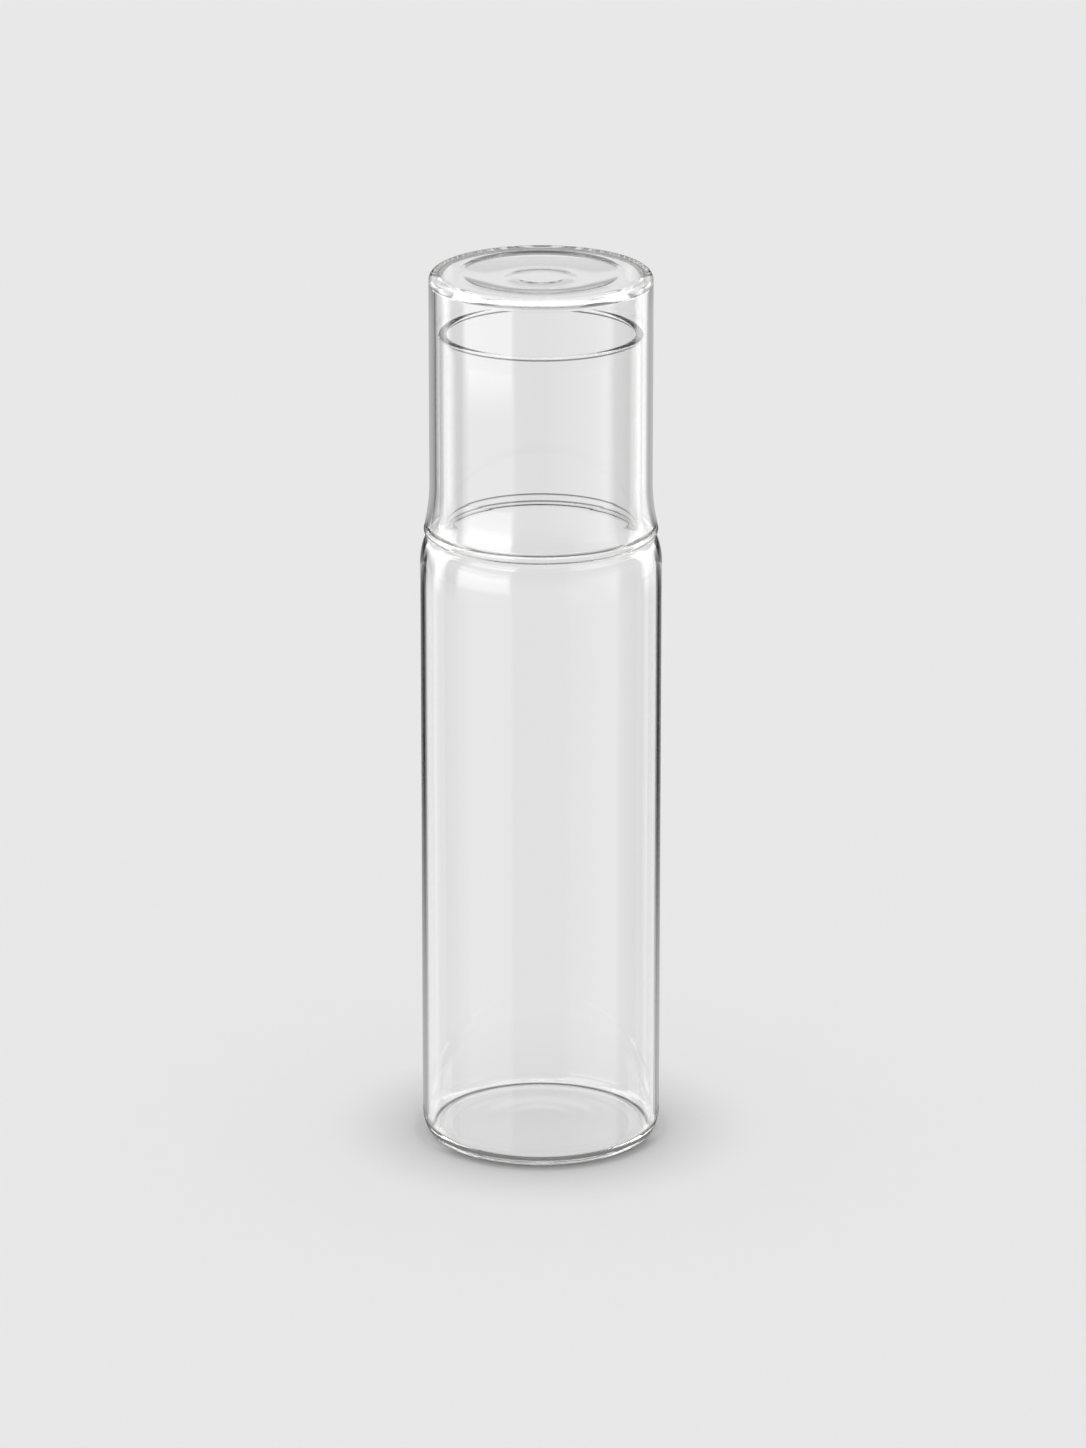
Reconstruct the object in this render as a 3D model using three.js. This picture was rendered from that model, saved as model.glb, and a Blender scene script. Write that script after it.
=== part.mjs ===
// Bedside carafe with its drinking tumbler turned over the neck as a lid.
// Millimetres, +Z up. The foot of the carafe stands on Z = 0 and both glasses are turned round the Z axis.
import * as THREE from 'three';

const SEGMENTS = 64;

// Carafe: body and foot
const BODY_DIAMETER = 75;
const CARAFE_WALL = 1.9;
const HEEL_INSET = 3.5;
const HEEL_HEIGHT = 8;
const FOOT_RING_WIDTH = 6;
const PUNT_DEPTH = 0.8;
const FLOOR_THICKNESS = 2;
const FLOOR_DOME = 0.8;
const FLOOR_CORNER = 3.5;

// Carafe: shoulder and neck
const BODY_STRAIGHT_TOP = 187.3;
const SHOULDER_WIDTH = 3.6;
const SHOULDER_HEIGHT = 9.6;
const SHOULDER_SLOPE = 53;
const NECK_SETBACK = 6.3;
const NECK_LENGTH = 57.9;
const RIM_WIDTH = 2.5;
const RIM_ROUND = 0.7;
const RIM_SWELL = 0.8;

// Tumbler: wall and beaded lip
const NECK_CLEARANCE = 1.2;
const TUMBLER_WALL = 2.1;
const LIP_BEAD = 2.4;
const LIP_INSET = 1.2;
const LIP_WAIST = 1.3;
const LIP_WAIST_LENGTH = 1;
const FLARE_LENGTH = 14;
const SEAT_GAP = 0.3;

// Tumbler: base
const RIM_HEADROOM = 14.8;
const BASE_THICKNESS = 1.8;
const BASE_CORNER = 2.4;
const BASE_RING_WIDTH = 7.6;
const HOLLOW_DEPTH = 1.6;
const PONTIL_DIAMETER = 24;
const PONTIL_SLOPE = 5;
const PONTIL_RISE = 0.4;
const INNER_CORNER_WIDTH = 3;
const INNER_CORNER_HEIGHT = 2;

const GLASS = { color: 0xeef2ee, roughness: 0.03, metalness: 0, transparent: true, opacity: 0.35 };

const point = (r, z) => new THREE.Vector2(r, z);

// Points from t = 0 to t = 1, both included
function along(steps, at) {
  return Array.from({ length: steps + 1 }, (_, i) => at(i / steps));
}

// Elliptic arc between two angles in degrees
function arc(r, z, halfWidth, halfHeight, from, to, steps) {
  return along(steps, (t) => {
    const a = THREE.MathUtils.degToRad(from + (to - from) * t);
    return point(r + halfWidth * Math.cos(a), z + halfHeight * Math.sin(a));
  });
}

// Smooth swelling on the axis, from its edge to its top
function swelling(radius, base, rise, steps) {
  return along(steps, (t) => point(radius * (1 - t), base + rise * (1 - (1 - t) ** 2) ** 2));
}

// Slope that leaves one level and reaches the other without a corner
function slope(fromRadius, fromLevel, toRadius, toLevel, steps) {
  return along(steps, (t) => point(
    THREE.MathUtils.lerp(fromRadius, toRadius, t),
    THREE.MathUtils.lerp(fromLevel, toLevel, THREE.MathUtils.smoothstep(t, 0, 1)),
  ));
}

// Side of a shallow dish: steepest at its edge, level where it meets the bed
function dish(edgeRadius, edgeLevel, bedRadius, bedLevel, steps) {
  return along(steps, (t) => point(
    THREE.MathUtils.lerp(edgeRadius, bedRadius, t),
    THREE.MathUtils.lerp(edgeLevel, bedLevel, 1 - (1 - t) ** 2),
  ));
}

// Turns a profile in the (radius, height) plane into a solid round Z
function turned(name, profile, material) {
  const clean = profile.filter((p, i) => i === 0 || p.distanceTo(profile[i - 1]) > 1e-6);
  const geometry = new THREE.LatheGeometry(clean, SEGMENTS);
  geometry.rotateX(Math.PI / 2);
  const mesh = new THREE.Mesh(geometry, new THREE.MeshStandardMaterial(material));
  mesh.name = name;
  return mesh;
}

const bodyRadius = BODY_DIAMETER / 2;
const neckRadius = bodyRadius - NECK_SETBACK;

// The shoulder is an S: an elliptic round above the body, which turns in to the shoulder's slope,
// and from there a hollow arc that turns up into the neck
function shoulder(inset, steps) {
  const width = SHOULDER_WIDTH - inset;
  const height = SHOULDER_HEIGHT - inset;
  const turn = THREE.MathUtils.degToRad(SHOULDER_SLOPE);
  const meeting = THREE.MathUtils.radToDeg(Math.atan2(height * Math.sin(turn), width * Math.cos(turn)));
  const round = arc(bodyRadius - SHOULDER_WIDTH, BODY_STRAIGHT_TOP, width, height, 0, meeting, steps);
  const meet = round[steps];
  const neck = neckRadius - inset;
  const hollow = (meet.x - neck) / (1 - Math.cos(turn));
  const neckBottom = meet.y + hollow * Math.sin(turn);
  return [...round, ...arc(neck + hollow, neckBottom, hollow, hollow, 180 + SHOULDER_SLOPE, 180, steps)];
}

const neckTop = shoulder(0, 1).at(-1).y + NECK_LENGTH;

function carafeProfile() {
  const footOuter = bodyRadius - HEEL_INSET;
  const footInner = footOuter - FOOT_RING_WIDTH;
  const floorRadius = bodyRadius - CARAFE_WALL - FLOOR_CORNER;

  // The neck's wall swells to both sides into a rounded rim
  const neckMiddle = neckRadius - CARAFE_WALL / 2;
  const rimHeight = neckTop - RIM_ROUND;
  const swell = (side) => along(3, (t) => {
    const wall = THREE.MathUtils.lerp(CARAFE_WALL, RIM_WIDTH, THREE.MathUtils.smoothstep(t, 0, 1));
    return point(neckMiddle + side * wall / 2, rimHeight - RIM_SWELL * (1 - t));
  });

  return [
    ...swelling(footInner, 0, PUNT_DEPTH, 4).reverse(),
    ...arc(footOuter, HEEL_HEIGHT, HEEL_INSET, HEEL_HEIGHT, -90, 0, 7),
    ...shoulder(0, 5),
    ...swell(1),
    ...arc(neckMiddle, rimHeight, RIM_WIDTH / 2, RIM_ROUND, 0, 180, 6),
    ...swell(-1).reverse(),
    ...shoulder(CARAFE_WALL, 5).reverse(),
    ...arc(floorRadius, FLOOR_THICKNESS + FLOOR_CORNER, FLOOR_CORNER, FLOOR_CORNER, 0, -90, 6),
    ...swelling(floorRadius, FLOOR_THICKNESS, FLOOR_DOME, 4),
  ];
}

// Height at which a round bead, lowered over the neck, comes to rest a gap away from the shoulder
function restingHeight(centreRadius, beadRadius, gap) {
  const reach = beadRadius + gap;
  const heights = shoulder(0, 60).map((p) => p.y + Math.sqrt(reach ** 2 - (p.x - centreRadius) ** 2));
  return Math.max(...heights.filter(Number.isFinite));
}

function tumblerProfile() {
  const inner = neckRadius + NECK_CLEARANCE;
  const outer = inner + TUMBLER_WALL;
  const top = neckTop + RIM_HEADROOM + BASE_THICKNESS + HOLLOW_DEPTH;

  // The wall bends out along a parabola and draws in to a waist above the bead that ends it,
  // and the bead stays inside the line of the body
  const bead = LIP_BEAD / 2;
  const beadRadius = bodyRadius - LIP_INSET - bead;
  const beadCentre = restingHeight(beadRadius, bead, SEAT_GAP);
  const beadAngle = THREE.MathUtils.radToDeg(Math.acos(LIP_WAIST / LIP_BEAD));
  const flareBottom = beadCentre + Math.sqrt(LIP_BEAD ** 2 - LIP_WAIST ** 2) / 2;
  const flare = (side) => along(8, (t) => {
    const height = FLARE_LENGTH * t ** 2;
    const middle = THREE.MathUtils.lerp((inner + outer) / 2, beadRadius, (1 - t ** 2) ** 2);
    const swell = THREE.MathUtils.smoothstep(height, 0, LIP_WAIST_LENGTH);
    const wall = THREE.MathUtils.lerp(LIP_WAIST, TUMBLER_WALL, swell);
    return point(middle + side * wall / 2, flareBottom + height);
  });

  // The base is one sheet, so its inside repeats the hollow and the pontil mark of its outside
  const ringInner = outer - BASE_CORNER - BASE_RING_WIDTH;
  const pontil = PONTIL_DIAMETER / 2;
  const sheet = (level) => [
    ...dish(ringInner, level, pontil, level - HOLLOW_DEPTH, 5),
    ...slope(pontil, level - HOLLOW_DEPTH, pontil - PONTIL_SLOPE, level - HOLLOW_DEPTH + PONTIL_RISE, 3),
    point(0, level - HOLLOW_DEPTH + PONTIL_RISE),
  ];
  const ceiling = top - BASE_THICKNESS;
  const cornerRadius = inner - INNER_CORNER_WIDTH;

  return [
    ...sheet(ceiling).reverse(),
    ...arc(cornerRadius, ceiling - INNER_CORNER_HEIGHT, INNER_CORNER_WIDTH, INNER_CORNER_HEIGHT, 90, 0, 5),
    ...flare(-1).reverse(),
    ...arc(beadRadius, beadCentre, bead, bead, 180 - beadAngle, 360 + beadAngle, 9),
    ...flare(1),
    ...arc(outer - BASE_CORNER, top - BASE_CORNER, BASE_CORNER, BASE_CORNER, 0, 90, 5),
    ...sheet(top),
  ];
}

const group = new THREE.Group();
group.name = 'bedside_carafe_with_tumbler';
group.add(turned('carafe', carafeProfile(), GLASS));
group.add(turned('tumbler', tumblerProfile(), GLASS));

export default group;
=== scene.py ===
"""Bedside carafe with its tumbler turned over the neck: clear blown glass on a pale floor.

Metres, +Z up. The sizes of both glasses are in millimetres and named as in the part's source.
"""
import math

import bpy
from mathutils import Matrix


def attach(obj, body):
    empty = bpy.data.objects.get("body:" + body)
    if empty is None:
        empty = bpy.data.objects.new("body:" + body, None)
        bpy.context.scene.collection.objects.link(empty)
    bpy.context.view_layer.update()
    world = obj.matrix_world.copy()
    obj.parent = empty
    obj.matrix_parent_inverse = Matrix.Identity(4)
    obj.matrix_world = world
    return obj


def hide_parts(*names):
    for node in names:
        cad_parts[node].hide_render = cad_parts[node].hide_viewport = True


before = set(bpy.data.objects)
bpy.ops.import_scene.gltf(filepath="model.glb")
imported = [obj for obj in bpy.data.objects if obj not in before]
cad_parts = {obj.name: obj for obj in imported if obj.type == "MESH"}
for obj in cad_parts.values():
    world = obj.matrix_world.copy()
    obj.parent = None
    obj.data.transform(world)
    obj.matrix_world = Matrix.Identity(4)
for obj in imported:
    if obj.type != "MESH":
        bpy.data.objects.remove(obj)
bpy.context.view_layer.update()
scene = bpy.context.scene
MM = 0.001

# Carafe: body and foot
BODY_RADIUS = 37.5
CARAFE_WALL = 1.9
HEEL_INSET = 3.5
HEEL_HEIGHT = 8.0
FOOT_RING_WIDTH = 6.0
PUNT_DEPTH = 0.8
FLOOR_THICKNESS = 2.0
FLOOR_DOME = 0.8
FLOOR_CORNER = 3.5
FLOOR_RIPPLE = 0.01
RIPPLE_PITCH = 7.0

# Carafe: shoulder and neck
BODY_STRAIGHT_TOP = 187.3
SHOULDER_WIDTH = 3.6
SHOULDER_HEIGHT = 9.6
SHOULDER_SLOPE = 53.0
NECK_SETBACK = 6.3
NECK_LENGTH = 57.9
RIM_WIDTH = 2.5
RIM_ROUND = 0.7
RIM_SWELL = 0.8

# Tumbler: wall and beaded lip
NECK_CLEARANCE = 1.2
TUMBLER_WALL = 2.1
LIP_BEAD = 2.4
LIP_INSET = 1.2
LIP_WAIST = 1.3
LIP_WAIST_LENGTH = 1.0
FLARE_LENGTH = 14.0
SEAT_GAP = 0.3

# Tumbler: base
RIM_HEADROOM = 14.8
BASE_THICKNESS = 1.8
BASE_CORNER = 2.4
BASE_RING_WIDTH = 7.6
HOLLOW_DEPTH = 1.6
PONTIL_DIAMETER = 24.0
PONTIL_SLOPE = 5.0
PONTIL_RISE = 0.4
INNER_CORNER_WIDTH = 3.0
INNER_CORNER_HEIGHT = 2.0

# Meshes: steps round the axis, and rows along each stretch of the profiles
SEGMENTS = 256
FLAT_ROWS = 4
PUNT_ROWS = 20
HEEL_ROWS = 28
BODY_ROWS = 24
SHOULDER_ROWS = 20
NECK_ROWS = 12
RIM_SWELL_ROWS = 16
RIM_ROWS = 32
FLOOR_CORNER_ROWS = 24
FLOOR_ROWS = 48
HOLLOW_ROWS = 24
PONTIL_ROWS = 16
BASE_CORNER_ROWS = 20
TUMBLER_ROWS = 4
FLARE_ROWS = 96
BEAD_ROWS = 40
SEAT_SEARCH_STEPS = 400
SAME_POINT = 1e-6

# Glass
GLASS_IOR = 1.48
GLASS_TINT = (0.80, 0.84, 0.74, 1)
TINT_DENSITY = 4.0
WAVE_SCALE = 40
WAVE_STRETCH = (1, 1, 0.25)
WAVE_STRENGTH = 0.02
WAVE_DEPTH = 0.001
POLISH_SCALE = 25
POLISH_DETAIL = 3
POLISH_RANGE = (0.45, 0.8)
ROUGHEST = 0.012

# Camera, fitted to the outline
CAMERA_BACK = 2.255
CAMERA_HEIGHT = 0.88135
TARGET_HEIGHT = 0.13435
SENSOR_HEIGHT = 36
FOCAL_PIXELS = 7613
FRAME_HEIGHT = 1448
AXIS_SHIFT_PIXELS = 2

# Limits of Light Path's depths: glass surfaces that a ray has passed, and reflections
ONE_WALL = 2.5
FAR_WALL = 3.5
BOTH_GLASSES = 4.5
REFLECTED = 0.5
GUIDED = 10.5
SCATTERED = 0.5

# Floor: radii in metres round the axis; a level of 1 is white
BACKDROP = 0.807
FLOOR_HALF_SIZE = 8
# Painted shadow: ambient occlusion darkens the matt floor's colour near the glass
SHADOW_REACH = 0.032
SHADOW_SAMPLES = 8
SHADOW_LEVEL = 0.45
# Painted shade: a dark line along the foot, on the side that the shade falls to
PAINTED_FOOT_SHADE_LEVEL = 0.63
PAINTED_FOOT_SHADE_RADII = (0.036, 0.040)
PAINTED_FOOT_SHADE_AZIMUTH = 8
PAINTED_FOOT_SHADE_REACH = (0.012, 0.021)
# Painted shade: the floor that glass shows is darker towards the axis
UNDER_GLASS_PAINTED_SHADE_LEVEL = 0.76
UNDER_GLASS_PAINTED_SHADE_RADII = (0.03, 0.11)
# Painted shade: a dark ring under the heel, which glass shows past both walls
HEEL_SHADE_LEVEL = 0.08
HEEL_SHADE_STARTS = (0.033, 0.034)
HEEL_SHADE_ENDS = (0.035, 0.0363)
# Painted contact shade: a dark emission close to the foot, seen after a reflection
PAINTED_CONTACT_SHADE_LEVEL = 0.2
PAINTED_CONTACT_SHADE_RADII = (0.038, 0.0475)

# Studio light round the room: (azimuth in degrees, level); 0 is towards the camera, + to the right
LOW_LIGHT = [(-180, .6), (-171, .7), (-169, 0), (-150, 0), (-146, .8), (-135, 1.1), (-122, 1.05),
             (-117, .55), (-88, .65), (-86, .85), (-29.5, .85), (-27, .38), (27, .42), (62, .8), (80, .82),
             (84, .32), (119, .2), (121, .9), (147, .95), (150, 0), (169, 0), (171, .7), (180, .6)]
MID_LIGHT = [(-180, .5), (-170, .5), (-160, .4), (-150, .4), (-145, .1), (-140, .1), (-136, .5), (-127, .5),
             (-122, 1.7), (-117, 2.6), (-112, 1.8), (-107, .4), (-102, .1), (-90, .1), (-87, 1.15),
             (-29.5, 1.05), (-27, .5), (0, .38), (27, .7), (57, 1), (77, 1.5), (84, .1), (113, .1),
             (121, 2.2), (130, 1.6), (139, 1.3), (148, .4), (170, .5), (180, .5)]
LEFT_BOX = [(-180, 0), (-88, 0), (-86, 1.2), (-31, 1.2), (-29.5, 0), (180, 0)]
HIGH_LIGHT = [(-180, .7), (-152, .7), (-148, 4), (-106, 4), (-101, .6), (-87, .6), (-83, 3.6), (-32, 3.6),
              (-28, .15), (27, .15), (62, 1.2), (80, 1.5), (84, .4), (109, .5), (114, 3.6), (146, 3.6),
              (150, .7), (180, .7)]
SIDE_BOXES = [(-180, 0), (-129, 0), (-126, 4), (-106, 4), (-103, 0), (107, 0), (110, 4), (126, 4),
              (129, 0), (180, 0)]
BRIGHTEST = 8
REAR_AZIMUTHS = (146, 152)

# Studio light up the room: a first level, then (from, to, next level), in degrees of elevation
EDGE_LIGHT = (.15, (-23.5, -21.5, .4), (-20.9, -18.4, .03))
HIGH_SHARE = (1.0, (4, 10.5, .25), (32, 36, 1.0))
SIDE_SHARE = (0.0, (4, 10.5, 1.0))
REAR_LIGHT = (.12, (6, 11, .8), (17, 20, .35), (40, 45, 1.6))

# Elevations over which one light takes over from the one below it, in degrees
GROUND_TO_LOW = (-50, -32)
LOW_TO_MID = (-17.3, -16.9)
LEFT_BOX_STARTS = (-16.1, -15.6)
LOWER_TO_UPPER = (-12, 4)
LOWER_TO_REAR = (-14.5, -9)
UPPER_TO_CEILING = (60, 66)
BACKDROP_TO_DARK = (2, 8)

GROUND_LIGHT = 0.9
CEILING_LIGHT = 5.0
BOTH_GLASSES_LIGHT = 0.63
DARK_ROOM = 0.05
GUIDED_LIGHT = 0.8
DAYLIGHT = 1.0
REFLECTED_DAYLIGHT = 0.5


def along(steps, at):
    return [at(i / steps) for i in range(steps + 1)]


def lerp(a, b, t):
    return a + (b - a) * t


def smooth(t):
    return t * t * (3 - 2 * t)


def arc(r, z, half_width, half_height, start, end, steps):
    """Elliptic arc between two angles in degrees."""
    def at(t):
        a = math.radians(lerp(start, end, t))
        return r + half_width * math.cos(a), z + half_height * math.sin(a)
    return along(steps, at)


def straight(a, b, steps):
    return along(steps, lambda t: (lerp(a[0], b[0], t), lerp(a[1], b[1], t)))


def swelling(radius, base, rise, steps):
    """Smooth swelling on the axis, from its edge to its top."""
    return along(steps, lambda t: (radius * (1 - t), base + rise * (1 - (1 - t) ** 2) ** 2))


def slope(r0, z0, r1, z1, steps):
    """Slope that leaves one level and reaches the other without a corner."""
    return along(steps, lambda t: (lerp(r0, r1, t), lerp(z0, z1, smooth(t))))


def dish(r0, z0, r1, z1, steps):
    """Side of a shallow dish: steepest at its edge, level at its bed."""
    return along(steps, lambda t: (lerp(r0, r1, t), lerp(z0, z1, 1 - (1 - t) ** 2)))


NECK_RADIUS = BODY_RADIUS - NECK_SETBACK


def shoulder(inset, steps):
    """S of the shoulder: an elliptic round above the body, then a hollow arc up to the neck."""
    width, height = SHOULDER_WIDTH - inset, SHOULDER_HEIGHT - inset
    turn = math.radians(SHOULDER_SLOPE)
    meet = math.degrees(math.atan2(height * math.sin(turn), width * math.cos(turn)))
    rounded = arc(BODY_RADIUS - SHOULDER_WIDTH, BODY_STRAIGHT_TOP, width, height, 0, meet, steps)
    r, z = rounded[-1]
    neck = NECK_RADIUS - inset
    hollow = (r - neck) / (1 - math.cos(turn))
    neck_bottom = z + hollow * math.sin(turn)
    return rounded + arc(neck + hollow, neck_bottom, hollow, hollow, 180 + SHOULDER_SLOPE, 180, steps)


NECK_TOP = shoulder(0, 1)[-1][1] + NECK_LENGTH


def carafe_profile():
    foot_outer = BODY_RADIUS - HEEL_INSET
    foot_inner = foot_outer - FOOT_RING_WIDTH
    inner = BODY_RADIUS - CARAFE_WALL
    floor_radius = inner - FLOOR_CORNER
    corner_top = FLOOR_THICKNESS + FLOOR_CORNER
    neck_inner = NECK_RADIUS - CARAFE_WALL
    neck_middle = (NECK_RADIUS + neck_inner) / 2
    rim_height = NECK_TOP - RIM_ROUND
    swell_height = rim_height - RIM_SWELL
    outside, inside = shoulder(0, SHOULDER_ROWS), shoulder(CARAFE_WALL, SHOULDER_ROWS)

    def rim_swell(side):
        """Side of the neck where its wall swells into the rim."""
        def at(t):
            wall = lerp(CARAFE_WALL, RIM_WIDTH, smooth(t))
            return neck_middle + side * wall / 2, swell_height + RIM_SWELL * t
        return along(RIM_SWELL_ROWS, at)

    def rippled(r, z):
        """Faint rings in the floor, which die out towards the axis."""
        wave = math.sin(2 * math.pi * r / RIPPLE_PITCH) * smooth(min(1, r / RIPPLE_PITCH))
        return r, z + FLOOR_RIPPLE * wave

    dome = swelling(floor_radius, FLOOR_THICKNESS, FLOOR_DOME, FLOOR_ROWS)
    return (swelling(foot_inner, 0, PUNT_DEPTH, PUNT_ROWS)[::-1]
            + straight((foot_inner, 0), (foot_outer, 0), FLAT_ROWS)
            + arc(foot_outer, HEEL_HEIGHT, HEEL_INSET, HEEL_HEIGHT, -90, 0, HEEL_ROWS)
            + straight((BODY_RADIUS, HEEL_HEIGHT), (BODY_RADIUS, BODY_STRAIGHT_TOP), BODY_ROWS)
            + outside
            + straight(outside[-1], (NECK_RADIUS, swell_height), NECK_ROWS)
            + rim_swell(1)
            + arc(neck_middle, rim_height, RIM_WIDTH / 2, RIM_ROUND, 0, 180, RIM_ROWS)
            + rim_swell(-1)[::-1]
            + straight((neck_inner, swell_height), inside[-1], NECK_ROWS)
            + inside[::-1]
            + straight((inner, BODY_STRAIGHT_TOP), (inner, corner_top), BODY_ROWS)
            + arc(floor_radius, corner_top, FLOOR_CORNER, FLOOR_CORNER, 0, -90, FLOOR_CORNER_ROWS)
            + [rippled(r, z) for r, z in dome])


def resting_height(centre_radius, bead_radius, gap):
    """Height at which a round bead, lowered over the neck, comes to rest a gap away from the shoulder."""
    reach = bead_radius + gap
    return max(z + math.sqrt(reach ** 2 - (r - centre_radius) ** 2)
               for r, z in shoulder(0, SEAT_SEARCH_STEPS) if abs(r - centre_radius) < reach)


def tumbler_profile():
    inner = NECK_RADIUS + NECK_CLEARANCE
    outer = inner + TUMBLER_WALL
    top = NECK_TOP + RIM_HEADROOM + BASE_THICKNESS + HOLLOW_DEPTH
    ceiling = top - BASE_THICKNESS
    bead = LIP_BEAD / 2
    bead_radius = BODY_RADIUS - LIP_INSET - bead
    bead_centre = resting_height(bead_radius, bead, SEAT_GAP)
    bead_angle = math.degrees(math.acos(LIP_WAIST / LIP_BEAD))
    flare_bottom = bead_centre + math.sqrt(LIP_BEAD ** 2 - LIP_WAIST ** 2) / 2
    flare_top = flare_bottom + FLARE_LENGTH
    ring_outer = outer - BASE_CORNER
    ring_inner = ring_outer - BASE_RING_WIDTH
    corner_radius = inner - INNER_CORNER_WIDTH
    corner_bottom = ceiling - INNER_CORNER_HEIGHT
    pontil = PONTIL_DIAMETER / 2

    def flare(side):
        """Side of the wall from the waist above the lip up to the straight part."""
        def at(t):
            middle = lerp((inner + outer) / 2, bead_radius, (1 - t) ** 2)
            above_waist = smooth(min(1, FLARE_LENGTH * t / LIP_WAIST_LENGTH))
            wall = lerp(LIP_WAIST, TUMBLER_WALL, above_waist)
            return middle + side * wall / 2, flare_bottom + FLARE_LENGTH * t
        return along(FLARE_ROWS, at)

    def sheet(level):
        """Hollow and pontil mark, which the base has outside and inside."""
        bed = level - HOLLOW_DEPTH
        mark, mark_top = pontil - PONTIL_SLOPE, bed + PONTIL_RISE
        return (dish(ring_inner, level, pontil, bed, HOLLOW_ROWS)
                + slope(pontil, bed, mark, mark_top, PONTIL_ROWS)
                + straight((mark, mark_top), (0, mark_top), FLAT_ROWS))

    return (sheet(ceiling)[::-1]
            + straight((ring_inner, ceiling), (corner_radius, ceiling), FLAT_ROWS)
            + arc(corner_radius, corner_bottom, INNER_CORNER_WIDTH, INNER_CORNER_HEIGHT,
                  90, 0, BASE_CORNER_ROWS)
            + straight((inner, corner_bottom), (inner, flare_top), TUMBLER_ROWS)
            + flare(-1)[::-1]
            + arc(bead_radius, bead_centre, bead, bead, 180 - bead_angle, 360 + bead_angle, BEAD_ROWS)
            + flare(1)
            + straight((outer, flare_top), (outer, top - BASE_CORNER), TUMBLER_ROWS)
            + arc(ring_outer, top - BASE_CORNER, BASE_CORNER, BASE_CORNER, 0, 90, BASE_CORNER_ROWS)
            + straight((ring_outer, top), (ring_inner, top), FLAT_ROWS)
            + sheet(top))


def turned(name, profile):
    """Turns a profile in the (radius, height) plane, axis to axis, into a closed smooth mesh round Z."""
    points = [p for i, p in enumerate(profile) if i == 0 or math.dist(p, profile[i - 1]) > SAME_POINT]
    verts, rings = [], []
    for r, z in points:
        if r < SAME_POINT:
            rings.append([len(verts)])
            verts.append((0, 0, z * MM))
            continue
        rings.append(list(range(len(verts), len(verts) + SEGMENTS)))
        for k in range(SEGMENTS):
            a = 2 * math.pi * k / SEGMENTS
            verts.append((r * MM * math.cos(a), r * MM * math.sin(a), z * MM))
    faces = []
    for a, b in zip(rings, rings[1:]):
        for k in range(SEGMENTS):
            n = (k + 1) % SEGMENTS
            if len(a) == 1:
                faces.append((a[0], b[n], b[k]))
            elif len(b) == 1:
                faces.append((a[k], a[n], b[0]))
            else:
                faces.append((a[k], a[n], b[n], b[k]))
    mesh = bpy.data.meshes.new(name)
    mesh.from_pydata(verts, [], faces)
    mesh.update()
    mesh.shade_smooth()
    piece = bpy.data.objects.new(name, mesh)
    scene.collection.objects.link(piece)
    return piece


class Nodes:
    """Short calls to build a node tree."""

    def __init__(self, tree):
        self.tree = tree
        tree.nodes.clear()

    def make(self, kind, **settings):
        node = self.tree.nodes.new("ShaderNode" + kind)
        for key, value in settings.items():
            setattr(node, key, value)
        return node

    def put(self, socket, value):
        if isinstance(value, bpy.types.NodeSocket):
            self.tree.links.new(value, socket)
        else:
            socket.default_value = value

    def math(self, operation, *values):
        node = self.make("Math", operation=operation)
        for socket, value in zip(node.inputs, values):
            self.put(socket, value)
        return node.outputs[0]

    def above(self, value, limit):
        return self.math("GREATER_THAN", value, limit)

    def below(self, value, limit):
        return self.math("LESS_THAN", value, limit)

    def measure(self, operation, *vectors):
        """Number that an operation on vectors gives."""
        node = self.make("VectorMath", operation=operation)
        for socket, vector in zip(node.inputs, vectors):
            self.put(socket, vector)
        return node.outputs["Value"]

    def ramp(self, value, lo, hi, low=0.0, high=1.0):
        """Smooth step of a value between two limits."""
        node = self.make("MapRange", interpolation_type="SMOOTHSTEP")
        inputs = {"Value": value, "From Min": lo, "From Max": hi, "To Min": low, "To Max": high}
        for name, v in inputs.items():
            self.put(node.inputs[name], v)
        return node.outputs["Result"]

    def mix(self, factor, a, b):
        node = self.make("Mix", data_type="FLOAT")
        for i, v in ((0, factor), (2, a), (3, b)):
            self.put(node.inputs[i], v)
        return node.outputs[0]

    def choose(self, factor, a, b):
        """Mix of two shaders."""
        node = self.make("MixShader")
        for i, v in enumerate((factor, a, b)):
            self.put(node.inputs[i], v)
        return node.outputs[0]


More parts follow.
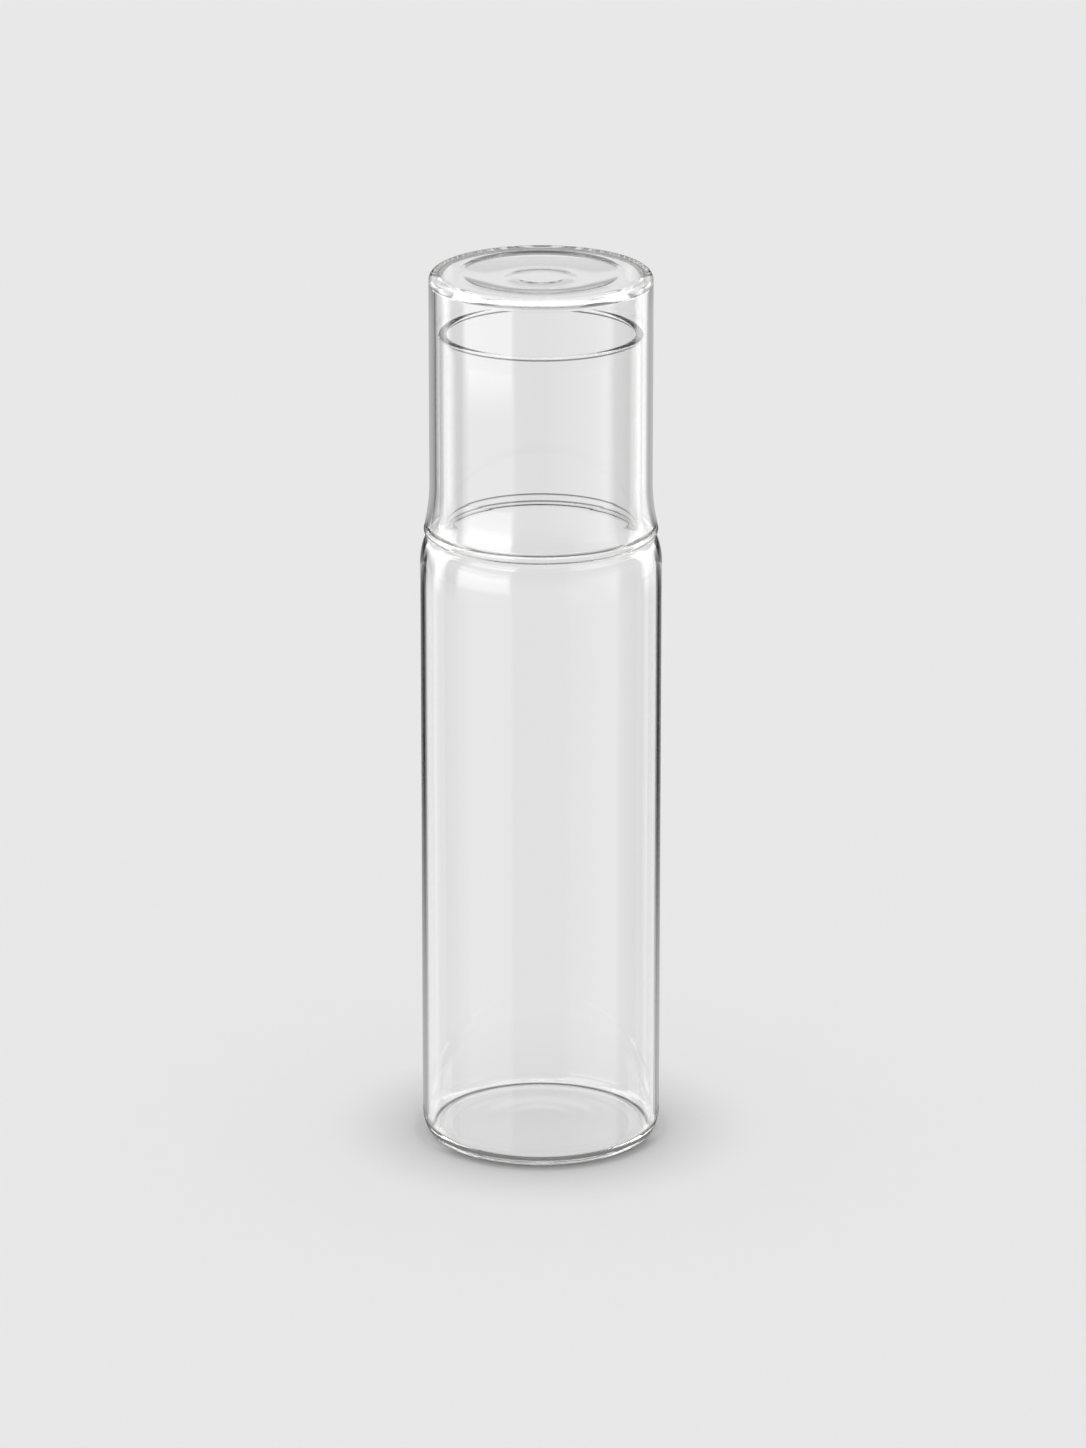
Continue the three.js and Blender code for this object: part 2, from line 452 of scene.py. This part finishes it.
def blown_glass(name):
    """Clear glass with a faint olive tint in depth, slow waves and fire polish that is not quite even."""
    material = bpy.data.materials.new(name)
    material.use_nodes = True
    n = Nodes(material.node_tree)
    out = n.make("OutputMaterial")
    glass = n.make("BsdfPrincipled")
    glass.inputs["Base Color"].default_value = (1, 1, 1, 1)
    glass.inputs["Transmission Weight"].default_value = 1.0
    glass.inputs["IOR"].default_value = GLASS_IOR
    place = n.make("TexCoord").outputs["Object"]

    stretch = n.make("Mapping")
    stretch.inputs["Scale"].default_value = WAVE_STRETCH
    n.put(stretch.inputs["Vector"], place)
    waves = n.make("TexNoise")
    waves.inputs["Scale"].default_value = WAVE_SCALE
    waves.inputs["Detail"].default_value = 1
    n.put(waves.inputs["Vector"], stretch.outputs[0])
    bump = n.make("Bump")
    bump.inputs["Strength"].default_value = WAVE_STRENGTH
    bump.inputs["Distance"].default_value = WAVE_DEPTH
    n.put(bump.inputs["Height"], waves.outputs["Fac"])
    n.put(glass.inputs["Normal"], bump.outputs[0])

    polish = n.make("TexNoise")
    polish.inputs["Scale"].default_value = POLISH_SCALE
    polish.inputs["Detail"].default_value = POLISH_DETAIL
    n.put(polish.inputs["Vector"], place)
    n.put(glass.inputs["Roughness"], n.ramp(polish.outputs["Fac"], *POLISH_RANGE, 0.0, ROUGHEST))

    tint = n.make("VolumeAbsorption")
    tint.inputs["Color"].default_value = GLASS_TINT
    tint.inputs["Density"].default_value = TINT_DENSITY
    n.put(out.inputs["Surface"], glass.outputs[0])
    n.put(out.inputs["Volume"], tint.outputs[0])
    return material


def pale_floor():
    """A floor that the camera sees with a painted shadow and a painted line of shade along the foot, and
    that glass shows as pale floor with painted shade near the foot.
    """
    size = FLOOR_HALF_SIZE
    corners = [(-size, -size, 0), (size, -size, 0), (size, size, 0), (-size, size, 0)]
    mesh = bpy.data.meshes.new("floor")
    mesh.from_pydata(corners, [], [(0, 1, 2, 3)])
    floor = bpy.data.objects.new("floor", mesh)
    scene.collection.objects.link(floor)
    material = bpy.data.materials.new("pale_floor")
    material.use_nodes = True
    n = Nodes(material.node_tree)
    out = n.make("OutputMaterial")
    path = n.make("LightPath").outputs
    position = n.make("NewGeometry").outputs["Position"]
    radius = n.measure("LENGTH", position)

    # To the camera: matt, with a painted shadow from ambient occlusion and, where the shade falls, a
    # painted dark line of shade along the foot
    # Painted shadow: ambient occlusion darkens the floor's colour
    nearby = n.make("AmbientOcclusion", samples=SHADOW_SAMPLES)
    nearby.inputs["Distance"].default_value = SHADOW_REACH
    shadow = n.mix(nearby.outputs["AO"], SHADOW_LEVEL * BACKDROP, BACKDROP)
    turn = math.radians(PAINTED_FOOT_SHADE_AZIMUTH)
    in_front = n.measure("DOT_PRODUCT", position, (math.sin(turn), -math.cos(turn), 0))
    # Painted shade: a dark line along the foot, only on the side the shade falls to
    painted_foot_shade = n.ramp(radius, *PAINTED_FOOT_SHADE_RADII, PAINTED_FOOT_SHADE_LEVEL, 1.0)
    painted_foot_shade = n.mix(n.ramp(in_front, *PAINTED_FOOT_SHADE_REACH), 1.0, painted_foot_shade)
    matt = n.make("BsdfDiffuse")
    n.put(matt.inputs["Color"], n.math("MULTIPLY", shadow, painted_foot_shade))

    # Through glass: plain, with painted shade darker towards the axis and a painted ring of shade under the
    # heel once both walls are passed
    # Painted shade: a dark ring under the heel
    heel = n.ramp(radius, *HEEL_SHADE_ENDS, 1.0, 0.0)
    heel = n.math("MULTIPLY", n.ramp(radius, *HEEL_SHADE_STARTS), heel)
    heel = n.math("MULTIPLY", heel, n.above(path["Transmission Depth"], FAR_WALL))
    # Painted shade: the floor under the glass is darker towards the axis
    pale = n.ramp(radius, *UNDER_GLASS_PAINTED_SHADE_RADII, UNDER_GLASS_PAINTED_SHADE_LEVEL, BACKDROP)
    plain = n.make("Emission")
    n.put(plain.inputs["Strength"], n.mix(heel, pale, HEEL_SHADE_LEVEL))

    # After a reflection: open to the studio below, except close to the foot, where a dark emission is
    # painted contact shade
    painted_contact_shade = n.make("Emission")
    painted_contact_shade.inputs["Strength"].default_value = PAINTED_CONTACT_SHADE_LEVEL
    near = n.ramp(radius, *PAINTED_CONTACT_SHADE_RADII, 1.0, 0.0)
    near = n.math("MULTIPLY", near, n.below(path["Transmission Depth"], ONE_WALL))
    reflected = n.choose(near, n.make("BsdfTransparent").outputs[0], painted_contact_shade.outputs[0])

    in_glass = n.choose(n.below(path["Glossy Depth"], REFLECTED), reflected, plain.outputs[0])
    n.put(out.inputs["Surface"], n.choose(path["Is Camera Ray"], in_glass, matt.outputs[0]))
    mesh.materials.append(material)


def studio():
    """Soft boxes round the object for reflections; glass that is looked through shows the backdrop."""
    world = bpy.data.worlds.new("studio")
    scene.world = world
    world.use_nodes = True
    world.cycles.sampling_method = "NONE"
    n = Nodes(world.node_tree)
    out = n.make("OutputWorld")
    background = n.make("Background")
    background.inputs["Color"].default_value = (1, 1, 1, 1)
    n.put(out.inputs["Surface"], background.outputs[0])
    direction = n.make("SeparateXYZ")
    n.put(direction.inputs[0], n.make("TexCoord").outputs["Generated"])
    x, y, z = direction.outputs
    azimuth = n.math("ARCTAN2", x, n.math("MULTIPLY", y, -1.0))
    round_the_room = n.math("ADD", n.math("DIVIDE", azimuth, 2 * math.pi), 0.5)
    elevation = n.math("MULTIPLY", n.math("ARCSINE", z), math.degrees(1))

    def ring(stops):
        """Light that changes with the azimuth."""
        node = n.make("ValToRGB")
        ramp = node.color_ramp
        while len(ramp.elements) > 1:
            ramp.elements.remove(ramp.elements[-1])
        for i, (degrees, level) in enumerate(stops):
            place = (degrees + 180) / 360
            stop = ramp.elements[0] if i == 0 else ramp.elements.new(place)
            stop.position = place
            stop.color = (level / BRIGHTEST,) * 3 + (1,)
        n.put(node.inputs[0], round_the_room)
        return n.math("MULTIPLY", node.outputs[0], float(BRIGHTEST))

    def climb(first, *changes):
        """Light that changes with the elevation."""
        light = first
        for lo, hi, then in changes:
            light = n.mix(n.ramp(elevation, lo, hi), light, then)
        return light

    # Below the horizon: the edges of the body mirror EDGE_LIGHT where the low ring is dark
    low = n.math("MAXIMUM", ring(LOW_LIGHT), climb(*EDGE_LIGHT))
    lower = climb(low, (*LOW_TO_MID, ring(MID_LIGHT)))
    lower = n.math("ADD", lower, climb(0.0, (*LEFT_BOX_STARTS, ring(LEFT_BOX))))

    # Above it: soft boxes at the sides, a rear wall, and a bright ceiling
    high = n.math("MULTIPLY", ring(HIGH_LIGHT), climb(*HIGH_SHARE))
    sides = n.math("MULTIPLY", ring(SIDE_BOXES), climb(*SIDE_SHARE))
    behind = n.ramp(n.math("ABSOLUTE", azimuth), *map(math.radians, REAR_AZIMUTHS))
    upper = n.mix(behind, n.math("ADD", high, sides), climb(*REAR_LIGHT))
    upper = climb(upper, (*UPPER_TO_CEILING, CEILING_LIGHT))
    rise = n.mix(behind, n.ramp(elevation, *LOWER_TO_UPPER), n.ramp(elevation, *LOWER_TO_REAR))
    boxes = climb(GROUND_LIGHT, (*GROUND_TO_LOW, n.mix(rise, lower, upper)))

    # Which of it a ray sees. Rays that the far wall bends up, or that are guided inside the far glass,
    # see a dark room: they draw the lines of rim and lip
    path = n.make("LightPath").outputs
    passed, reflections = path["Transmission Depth"], path["Glossy Depth"]
    unreflected = n.below(reflections, REFLECTED)
    mirrored = n.mix(n.above(passed, BOTH_GLASSES), boxes, BOTH_GLASSES_LIGHT)
    bent_up = n.mix(n.above(passed, FAR_WALL), BACKDROP, DARK_ROOM)
    seen = n.mix(unreflected, mirrored, climb(BACKDROP, (*BACKDROP_TO_DARK, bent_up)))
    guided = n.mix(n.below(passed, ONE_WALL), DARK_ROOM, GUIDED_LIGHT)
    seen = n.mix(n.above(reflections, GUIDED), seen, guided)
    seen = n.mix(path["Is Camera Ray"], seen, BACKDROP)

    # What lights the matt floor
    daylight = n.mix(unreflected, REFLECTED_DAYLIGHT, DAYLIGHT)
    scattered = n.above(path["Diffuse Depth"], SCATTERED)
    n.put(background.inputs["Strength"], n.mix(scattered, seen, daylight))


camera = bpy.data.objects.new("camera", bpy.data.cameras.new("camera"))
scene.collection.objects.link(camera)
camera.location = (0, -CAMERA_BACK, CAMERA_HEIGHT)
camera.rotation_euler = (math.pi / 2 - math.atan2(CAMERA_HEIGHT - TARGET_HEIGHT, CAMERA_BACK), 0, 0)
camera.data.sensor_fit = "VERTICAL"
camera.data.sensor_height = SENSOR_HEIGHT
camera.data.lens = FOCAL_PIXELS / FRAME_HEIGHT * SENSOR_HEIGHT
camera.data.shift_x = AXIS_SHIFT_PIXELS / FRAME_HEIGHT
scene.camera = camera

carafe = turned("carafe_blown", carafe_profile())
carafe.data.materials.append(blown_glass("carafe_glass"))
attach(carafe, "carafe")
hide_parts("carafe")

tumbler = turned("tumbler_blown", tumbler_profile())
tumbler.data.materials.append(blown_glass("tumbler_glass"))
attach(tumbler, "tumbler")
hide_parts("tumbler")

pale_floor()
studio()

scene.view_settings.view_transform = "Standard"
cycles = scene.cycles
cycles.use_denoising = True
cycles.blur_glossy = 0.0
cycles.max_bounces = 64
cycles.transmission_bounces = 24
cycles.glossy_bounces = 48
cycles.transparent_max_bounces = 16
cycles.caustics_reflective = True
cycles.caustics_refractive = True
